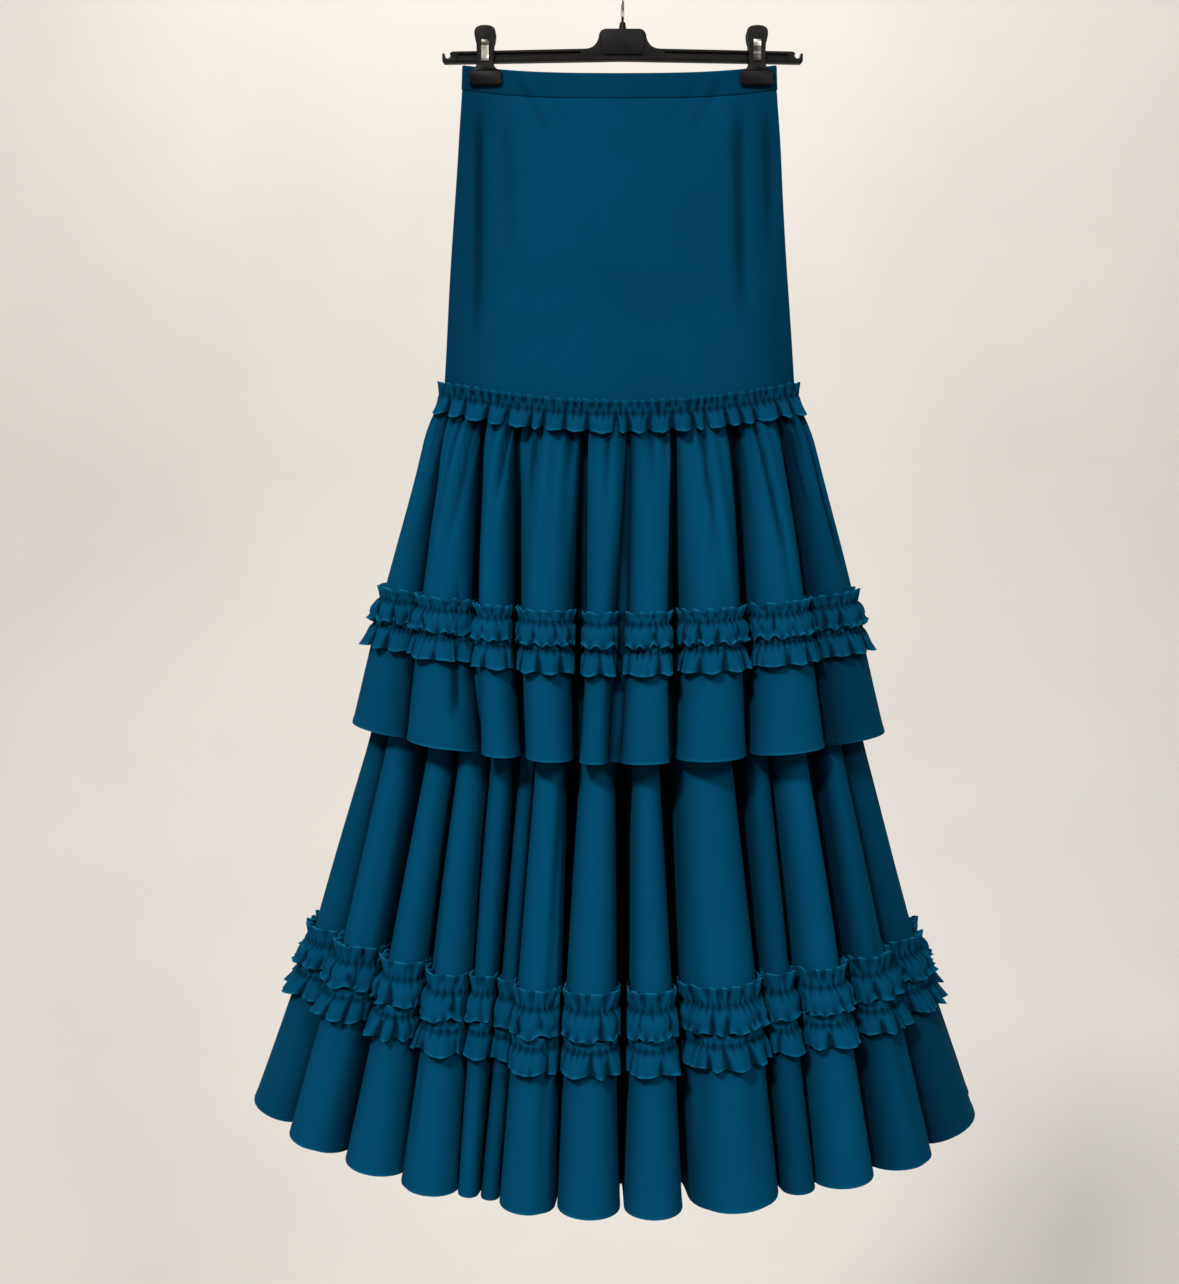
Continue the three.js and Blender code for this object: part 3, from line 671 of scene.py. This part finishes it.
def metal_material(name, color, low, high, stretch, banded=False):
    """A brushed metal whose roughness lies between low and high, with dark bands if asked."""
    material, nodes, links, shader = principled(name)
    brushed = noise(nodes, links, 500.0, 3.0, 0.6, stretch)
    tone = ramp(nodes, links, brushed.outputs["Fac"], [(0.3, grey(low)), (0.7, grey(high))])
    links.new(tone.outputs["Color"], shader.inputs["Roughness"])
    shader.inputs["Base Color"].default_value = color
    if banded:
        dark = (color[0] * 0.2, color[1] * 0.19, color[2] * 0.18, 1)
        bands = noise(nodes, links, 170.0, 0.0, 0.5, (0.02, 0.02, 1))
        tone = ramp(nodes, links, bands.outputs["Fac"], [(0.42, dark), (0.5, color)])
        links.new(tone.outputs["Color"], shader.inputs["Base Color"])
    shader.inputs["Metallic"].default_value = 1.0
    bump(nodes, links, [(brushed.outputs["Fac"], 0.08, 0.0001)], shader)
    return material


CLOTH = cloth_material()
THREAD = thread_material()
PLASTIC = plastic_material()
CHROME = metal_material("chrome_wire", CHROME_COLOR, 0.08, 0.18, (1, 1, 0.2))
STEEL = metal_material("spring_steel", STEEL_COLOR, 0.3, 0.45, (0.1, 1, 1), True)


# ---------------------------------------------------------------- the skirt


def put(piece, nodes=()):
    """Set a piece on the part's one body and in place of its nodes."""
    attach(piece, "root")
    if nodes:
        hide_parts(*nodes)
    return piece


def near_edge(z, edges, reach):
    """1 at an edge and 0 beyond its reach, for each row."""
    near = np.min([np.abs(np.asarray(z) - e) for e in edges], axis=0)
    return np.clip(1 - near / reach, 0, 1)


PANEL_COLUMNS = 240
MOST_PANEL_SHADE = 0.9

# Soft troughs of the yoke: place, half width, depth, top, foot and how far it drifts outward on the way.
DRAGS = [
    (-141, 8, 4.6, -98, -385, -4),
    (119, 9, 4.2, -98, -370, 4),
    (-116, 14, 2.6, -102, -300, 10),
    (147, 7, 3.2, -102, -290, 5),
    (-60, 30, 1.2, -250, -420, 0),
    (40, 34, 1.4, -260, -430, 6),
    (96, 20, 1.1, -240, -430, 5),
]
# Short slanted creases of the waistband near the clips: place at the top, drift, half width and depth.
TUGS = [(-104, 26, 7, 1.3), (-88, 34, 8, 0.8), (104, -26, 7, 1.3), (86, -34, 8, 0.8)]


def panel_grid(rows, z, proud):
    """A ring of points for each height, let in by the drags, the tugs and a faint ripple."""
    angle = np.arange(PANEL_COLUMNS) / PANEL_COLUMNS * TAU
    angle = angle + 0.06 * np.sin(2 * angle)
    z = np.asarray(z, float)[:, None]
    row = rows_at(rows, z)
    points = oval(row, angle + 0 * z)
    x, inset = points[..., 0], 0.0
    for place, width, deep, top, foot, drift in DRAGS:
        along = soft((top - z) / 50) * soft((z - foot) / 120)
        middle = place + drift * (top - z) / (top - foot)
        inset = inset + deep * along * np.exp(-(((x - middle) / width) ** 2))
    for place, drift, width, deep in TUGS:
        t = (WAIST_TOP - z) / 46
        along = soft(t * 2) * soft((1.6 - t) * 1.4)
        inset = inset + deep * along * np.exp(-(((x - place - drift * t) / width) ** 2))
    inset = inset + 0.5 * np.sin(x / 23 + z / 41) * soft((WAIST_SEAM - z) / 60)
    return points + oval_normal(row, angle + 0 * z) * (proud - inset)[..., None]


def build_panel(name, z, roll, thick, edge_highlight, shade, dents):
    """A smooth panel of the skirt. Its painted shade is that of its front, what its sides add and its
    hollows.
    """
    grid = panel_grid(YOKE_ROWS, z, roll[:, None])
    side = np.abs(grid[..., 0]) / np.abs(grid[..., 0]).max(1, keepdims=True)
    painted_shade = shade[0] + shade[1] * soft((side - 0.62) / 0.38) + 0.5 * hollows(grid, *dents)
    made = shell(name + "_cloth", grid, thick, CLOTH, edge_highlight, np.clip(painted_shade, 0, MOST_PANEL_SHADE))
    put(made, [name + "_front", name + "_back"])


def build_panels():
    """The waistband with its rolled edges, and the yoke, whose top tucks in under the band."""
    top_edge = [WAIST_TOP, WAIST_TOP - 0.6, WAIST_TOP - 1.8]
    foot_edge = [WAIST_SEAM + 1.6, WAIST_SEAM + 0.5, WAIST_SEAM - 0.2]
    z = np.concatenate([top_edge, np.linspace(WAIST_TOP - 4, WAIST_SEAM + 3, 14), foot_edge])
    depths = [72, 72.6, 73.8, 76, 94, 95.4, 96.5, 97.2]
    roll = np.interp(-z, depths, [-0.5, 0.1, 0.4, 0.5, 0.6, 0.6, 0.3, -0.7])
    # a painted highlight along the band's top edge
    edge_highlight = near_edge(z, [WAIST_TOP], 1.2) * 0.3
    build_panel("waistband", z, roll, BAND_THICK, edge_highlight, (0.49, 0.2), (4, 1.6))

    top_edge = [WAIST_SEAM + 0.1, WAIST_SEAM - 0.8, WAIST_SEAM - 2]
    z = np.concatenate([top_edge, np.linspace(WAIST_SEAM - 4, HIP_SEAM + 1, 44)])
    roll = np.interp(-z, [96.9, 97.8, 99, 101, 407], [-0.9, -0.3, 0.0, 0.0, 0.0])
    build_panel("yoke", z, roll, CLOTH_THICK, None, (0.27, 0.26), (5, 2.4))


# What hangs over the top of each tier: its lower edge, how much lower that is at the middle, how dark the
# shade under it is and how far the shade reaches. A strip on the tier throws the shade UNDER_STRIP.
OVER_TOP = {"tier1": (-425, 1.0, 0.4, 8.0), "tier2": (FLOUNCE_HEM, 0.0, 0.3, 16.0)}
UNDER_STRIP = (0.42, 7.0)
STRIP_HEIGHT = 24
MOST_SHADE = 0.95


def under_strips(name, z, angle):
    """The shade on a tier just under each strip that lies on it, or under what hangs over its top."""
    over = [(r["low"], r["drop"], *UNDER_STRIP) for r in RUFFLES if r["tier"] == name]
    over.append(OVER_TOP[name])
    shade = 0.0
    for low, drop, dark, reach in over:
        below = low - drop * np.sin(angle)[None, :] ** 2 - z[:, None]
        shade = shade + dark * np.exp(-np.maximum(below, 0) / reach) * (below > -STRIP_HEIGHT)
    return shade


# Columns a fold, rows, the depth at which its small hollows take their full painted shade, how far its
# stitches lie above the hem, and the cloth it hangs from.
TIER_DETAIL = {"tier1": (36, 36, 2.2, 5.0, "yoke_cloth"), "tier2": (28, 38, 1.4, 7.0, "tier1_cloth")}


def build_tier(name):
    """A tier with its turned hem, its shade and its row of hem stitches."""
    tier = TIERS[name]
    per_fold, rows, dent, hem_lift, rests_on = TIER_DETAIL[name]
    c = tier.columns(per_fold)
    foot_edge = tier.foot + np.array([6, 3.5, 1.5, 0.5, 0])
    z = np.concatenate([np.linspace(tier.top, tier.foot + 9, rows), foot_edge])
    grid = tier.points(z[:, None], c[None, :])
    # the hem's turned edge is a little thicker
    lip = np.interp(-z, [-tier.foot - 7, -tier.foot - 5, -tier.foot - 1, -tier.foot], [0, 0.35, 0.45, 0.2])
    grid = grid + level_normal(grid) * lip[:, None, None]
    # painted shade: in the valleys, on sides turned from the light, in small hollows and under strips
    painted_shade = 0.9 * soft(tier.walls(c) * 1.4) * tier.dimming(c) * soft((tier.top - z) / 60)[:, None]
    painted_shade = np.maximum(painted_shade, 1.35 * tier.turned(c)[None, :]) + 0.75 * hollows(grid, 5, dent)
    painted_shade = np.clip(painted_shade, 0, MOST_SHADE)
    painted_shade = np.clip(painted_shade + under_strips(name, z, c / tier.folds * TAU), 0, MOST_SHADE)
    # a painted highlight along the hem's edge
    edge_highlight = near_edge(z, [tier.foot], 1.8) * 0.8
    made = shell(name + "_cloth", grid, CLOTH_THICK, CLOTH, edge_highlight, painted_shade)
    put(made, [name + "_front", name + "_back"])
    ring = tier.points(np.array([[tier.foot + hem_lift]]), c[None, :], proud=0.55)[0]
    seam = put(stitches(name + "_hem_stitches", ring, 3.4, 2.4, STITCH_RADIUS, THREAD))


def uneven_phase(length, pitch, spread):
    """A phase along a closed length whose waves have uneven widths about a pitch."""
    count = max(8, int(round(length[-1] / pitch)))
    widths = rng.uniform(1 - spread, 1 + spread, count)
    marks = np.concatenate([[0], np.cumsum(widths)]) / widths.sum() * length[-1]
    heights = rng.uniform(0.45, 1.25, count + 1)
    heights[-1] = heights[0]
    return np.interp(length[:-1], marks, np.arange(count + 1) * TAU), np.interp(length[:-1], marks, heights)


# Steps between columns, and the pitch of each kind of wave, along a strip's folded ring
STEP_ON_TUBES = {"hip": 1.0, "tier1": 1.2, "tier2": 1.3}
STEP_IN_WALLS = 4.5
FLUTE = {"hip": 21.0, "tier1": 19.0, "tier2": 22.0}
HEADING_FLUTE = {"hip": 9.5, "tier1": 12.0, "tier2": 13.5}
LETTUCE = 9.5
GATHER_PITCH = {"hip": 7.0, "tier1": 6.4, "tier2": 6.8}
CRIMP = 1.7  # the height of the gathers' small ridges
RUFFLE_VALLEY = 0.92
RUFFLE_OFF = 0.9  # how far a strip lies off its tier
EDGE_BEAD = 0.45
# Rows of a strip: shares of the way from its gathers to its heading's edge and to its flounce's edge
HEAD = np.array([1, 0.95, 0.8, 0.58, 0.34, 0.15, 0.03])
FALL = np.array([0.03, 0.09, 0.17, 0.28, 0.42, 0.58, 0.73, 0.87, 0.96, 1])


def pleats(phase, high, sharp=0.75):
    """Round ridges with narrow creases between them."""
    return (2 * np.abs(np.sin(phase / 2)) ** sharp - 1.1) * high


def ruffle_columns(tier, kind, z):
    """Places round a tier, close together on its tubes, and the lengths along its folded ring up to them."""
    fine = np.linspace(0, tier.folds, tier.folds * 200 + 1)
    ring = tier.points(np.array([[z]]), fine[None, :-1], RUFFLE_VALLEY)[0]
    along = ring_lengths(ring)
    step = mix(STEP_ON_TUBES[kind], STEP_IN_WALLS, soft(tier.walls(fine[:-1]) * 2.2))
    weight = np.concatenate([[0], np.cumsum(np.diff(along) / step)])
    count = int(weight[-1])
    c = np.interp(np.arange(count) / count * weight[-1], weight, fine)
    return c, np.append(np.interp(c, fine, along), along[-1])


def heading_form(ruffle, waves):
    """How far a strip's heading stands out, shifts along and rises, for its rows and columns."""
    v, cup = HEAD[:, None], ruffle["head"]
    heading, high = waves["heading"]
    top_wave = (np.sin(heading) + 0.2 * np.sin(2 * heading + 1)) * high
    crimp = pleats(*waves["gather"])
    proud = cup * (0.75 * v**0.85 + 0.58 * v * top_wave) + CRIMP * crimp * np.exp(-((v / 0.5) ** 2))
    shift = -0.3 * cup * v * np.sin(2 * heading) * high
    return proud, shift, 1.6 * v * np.sin(heading + 0.7) * high


def flounce_form(ruffle, waves):
    """The same for its flounce, which is puffed under the gathers or a plain flare."""
    v, flare = FALL[:, None], ruffle["flare"]
    flute, high = waves["flute"]
    wave = pleats(flute, high, 0.9)
    if ruffle["tier"] == "hip":
        wave = 1.9 * wave - 0.7 * np.maximum(-wave, 0)
    curl = np.sin(waves["lettuce"][0]) * waves["lettuce"][1]
    pucker = CRIMP * pleats(*waves["gather"]) * np.exp(-((v / 0.3) ** 1.6))
    if ruffle["puffed"]:
        puff = flare * 0.85 * np.sin(np.minimum(v / 0.5, 1) * math.pi / 2) ** 0.7
        puff = puff - flare * 0.2 * soft((v - 0.5) / 0.35) + flare * 0.3 * soft((v - 0.82) / 0.18)
        swing = flare * (0.3 * np.minimum(v * 2, 1)) * wave + 0.25 * flare * soft((v - 0.62) / 0.38) * curl
        slump = 2.4 * soft((v - 0.5) / 0.5) * curl - 1.0 * soft(v * 1.2) * (1 + wave)
    else:
        puff = flare * (0.3 * (1 - np.exp(-v / 0.1)) + 0.55 * v)
        swing = (flare * 0.6 + 6.5) * (0.05 + 0.33 * v) * wave + 0.12 * flare * v**2 * curl
        slump = -1.0 * v * (1 + wave) + 0.5 * v**2 * curl
    return puff + swing + pucker, 0.16 * flare * v * np.sin(flute) * high, slump


def ruffle_shade(ruffle, tier, c, z, grid):
    """A strip's shade: in the valleys, on turned sides, along its gathers and in its creases."""
    below = z - ruffle["gather"]
    # painted shade along the gather line; the hip ruffle takes more all over, most below its gathers
    pinch = 0.62 * np.exp(-((below / 1.9) ** 2))
    if ruffle["tier"] == "hip":
        pinch = pinch + 0.1 + 0.2 * soft(below / 3)
    creased = mix(0.6, 0.3, soft(below / 5))
    painted_shade = 0.95 * soft(tier.walls(c) * 3.4)[None, :] + 0.55 * tier.turned(c)[None, :]
    creases = hollows(grid, 3, 0.8) + hollows(grid, 7, 1.6)
    return np.clip(painted_shade + pinch + creased * creases, 0, MOST_SHADE)


def build_ruffle(ruffle):
    """A strip gathered on one line, with the overlocked thread along its gathers."""
    name, kind, gather = ruffle["name"], ruffle["tier"], ruffle["gather"]
    tier = TIERS[kind]
    c, lengths = ruffle_columns(tier, kind, gather)
    pitches = {
        "flute": (FLUTE[kind], 0.5),
        "heading": (HEADING_FLUTE[kind], 0.55),
        "gather": (GATHER_PITCH[kind], 0.35),
        "lettuce": (LETTUCE, 0.45),
    }
    waves = {wave: uneven_phase(lengths, pitch, spread) for wave, (pitch, spread) in pitches.items()}

    z_head = gather + (ruffle["top"] - gather) * HEAD
    z_fall = gather + (ruffle["low"] - gather) * FALL
    z = np.concatenate([z_head, z_fall])[:, None]
    drop = ruffle["drop"] * np.sin(c / tier.folds * TAU) ** 2
    base = tier.points(z - drop, c[None, :], RUFFLE_VALLEY, RUFFLE_THICK + RUFFLE_OFF)
    out = level_normal(base)
    side = np.stack([-out[..., 1], out[..., 0], 0 * out[..., 0]], -1)
    forms = zip(heading_form(ruffle, waves), flounce_form(ruffle, waves))
    proud, shift, rise = (np.concatenate(pair) for pair in forms)
    # a strip lies flat where its tier folds back into a valley
    room = 1 - 0.9 * soft(tier.walls(c) * 3.0 - 0.2)
    grid = base + out * (proud * room)[..., None] + side * (shift * room)[..., None]
    grid[..., 2] += rise * room
    grid = part_ways(tier, z - drop, c, base, grid)

    edges = [ruffle["top"], ruffle["low"]]
    thick = RUFFLE_THICK + EDGE_BEAD * near_edge(z[:, 0], edges, 1.6)
    shade = ruffle_shade(ruffle, tier, c, z, grid)
    # a painted highlight along both edges of the strip
    made = shell(name + "_cloth", grid, thick, CLOTH, near_edge(z[:, 0], edges, 1.1), shade)
    put(made, [name])
    middle = len(HEAD)
    line = (grid[middle - 1] + grid[middle]) / 2 + level_normal(grid[middle : middle + 1])[0] * 0.25
    thread = put(stitches(name + "_stitches", line, 3.8, 2.6, STITCH_RADIUS, THREAD))


# ---------------------------------------------------------------- the hanger

# node, material, slot, bevel in millimetres
HANGER_PIECES = [
    ("hanger_bar", PLASTIC, "hanger_plastic", 0.7),
    ("hook", CHROME, "hook_chrome", 0.0),
    ("clip_left_front", PLASTIC, "hanger_plastic", 0.6),
    ("clip_left_back", PLASTIC, "hanger_plastic", 0.6),
    ("clip_right_front", PLASTIC, "hanger_plastic", 0.6),
    ("clip_right_back", PLASTIC, "hanger_plastic", 0.6),
    ("clip_left_spring", STEEL, "spring_steel", 0.2),
    ("clip_right_spring", STEEL, "spring_steel", 0.2),
]


def build_hanger_piece(node, material, slot, bevel):
    """A hanger part on its solid's own form, with rounded edges."""
    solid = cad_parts[node]
    mesh = solid.data.copy()
    mesh.name = node + "_finish"
    mesh.materials.clear()
    mesh.materials.append(material)
    made = bpy.data.objects.new(node + "_finish", mesh)
    made.matrix_world = solid.matrix_world.copy()
    bpy.context.scene.collection.objects.link(made)
    mesh.polygons.foreach_set("material_index", np.zeros(len(mesh.polygons), np.int32))
    mesh.shade_smooth()
    if bevel:
        weld = made.modifiers.new("weld", "WELD")
        weld.merge_threshold = 0.00001
        edges = made.modifiers.new("edges", "BEVEL")
        edges.width = bevel * MM
        edges.segments = 3
        edges.limit_method = "ANGLE"
        edges.angle_limit = math.radians(35)
        edges.harden_normals = True
    put(made, [node])


# ---------------------------------------------------------------- camera, light and stage

PHOTO_HEIGHT = 1284  # pixels, of a picture 1179 wide
FOCAL_PIXELS = 1650.0
SENSOR_HEIGHT = 24.0
EYE = (-0.033, -1.700, -0.4744)
TILT_DOWN = math.radians(5.607)


def build_camera():
    """The camera, level from side to side and tilted a little down."""
    data = bpy.data.cameras.new("camera")
    data.sensor_fit = "VERTICAL"
    data.sensor_height = SENSOR_HEIGHT
    data.lens = FOCAL_PIXELS / PHOTO_HEIGHT * SENSOR_HEIGHT
    camera = bpy.data.objects.new("camera", data)
    camera.location = EYE
    camera.rotation_euler = (math.pi / 2 - TILT_DOWN, 0, 0)
    bpy.context.scene.collection.objects.link(camera)
    bpy.context.scene.camera = camera


# name, place, target, size in metres, power in watts, colour
LAMPS = [
    ("key", (-1.9, -3.9, 2.9), (0, 0, -0.75), (0.8, 0.8), 390, (1, 0.985, 0.96)),
    ("fill", (1.9, -4.1, 2.2), (0, 0, -0.75), (1.1, 1.1), 150, (1, 0.99, 0.97)),
    ("backdrop_light", (0, 2.0, 3.2), (0, 4.4, -1.5), (3.5, 0.8), 112, (1, 0.985, 0.96)),
    ("back_fill", (-1.0, 3.2, 1.4), (0, 0, -0.7), (1.6, 1.2), 42, (1, 0.99, 0.97)),
]


def area_light(name, place, target, size, power, color):
    """A soft rectangular lamp that faces its target."""
    data = bpy.data.lights.new(name, "AREA")
    data.shape = "RECTANGLE"
    data.size, data.size_y = size
    data.energy = power
    data.color = color
    lamp = bpy.data.objects.new(name, data)
    lamp.location = place
    toward = Vector(target) - Vector(place)
    lamp.rotation_euler = toward.to_track_quat("-Z", "Y").to_euler()
    bpy.context.scene.collection.objects.link(lamp)


def build_stage():
    """A pale floor that sweeps up into a backdrop well behind the skirt."""
    material, nodes, links, shader = principled("pale_backdrop")
    cloud = noise(nodes, links, 1.2, 3.0)
    tone = ramp(nodes, links, cloud.outputs["Fac"], [(0.3, BACKDROP_DARK), (0.7, BACKDROP_BASE)])
    links.new(tone.outputs["Color"], shader.inputs["Base Color"])
    shader.inputs["Roughness"].default_value = 0.9
    # metres: the floor's height, where the wall stands, the bend between them, and half the width
    drop, wall, bend, reach = -2.6, 4.4, 2.2, 9.0
    steps, wall_top = 16, 6.0
    profile = [(-reach, drop), (wall - bend, drop)]
    for step in range(1, steps + 1):
        turn = step / steps * math.pi / 2
        profile.append((wall - bend + bend * math.sin(turn), drop + bend - bend * math.cos(turn)))
    profile.append((wall, wall_top))
    points = [(x, y, z) for y, z in profile for x in (-reach, reach)]
    faces = [(2 * i, 2 * i + 1, 2 * i + 3, 2 * i + 2) for i in range(len(profile) - 1)]
    mesh = bpy.data.meshes.new("backdrop")
    mesh.from_pydata(points, [], faces)
    mesh.shade_smooth()
    mesh.materials.append(material)
    backdrop = bpy.data.objects.new("backdrop", mesh)
    bpy.context.scene.collection.objects.link(backdrop)

    world = bpy.data.worlds.new("studio")
    bpy.context.scene.world = world
    world.use_nodes = True
    background = world.node_tree.nodes["Background"]
    background.inputs["Color"].default_value = (0.78, 0.765, 0.74, 1)
    background.inputs["Strength"].default_value = 0.2

    for lamp in LAMPS:
        area_light(*lamp)
    bpy.context.scene.view_settings.view_transform = "Standard"


# ---------------------------------------------------------------- build

build_camera()
build_stage()
build_panels()
for tier_name in TIER_DETAIL:
    build_tier(tier_name)
for strip in RUFFLES:
    build_ruffle(strip)
for hanger_piece in HANGER_PIECES:
    build_hanger_piece(*hanger_piece)
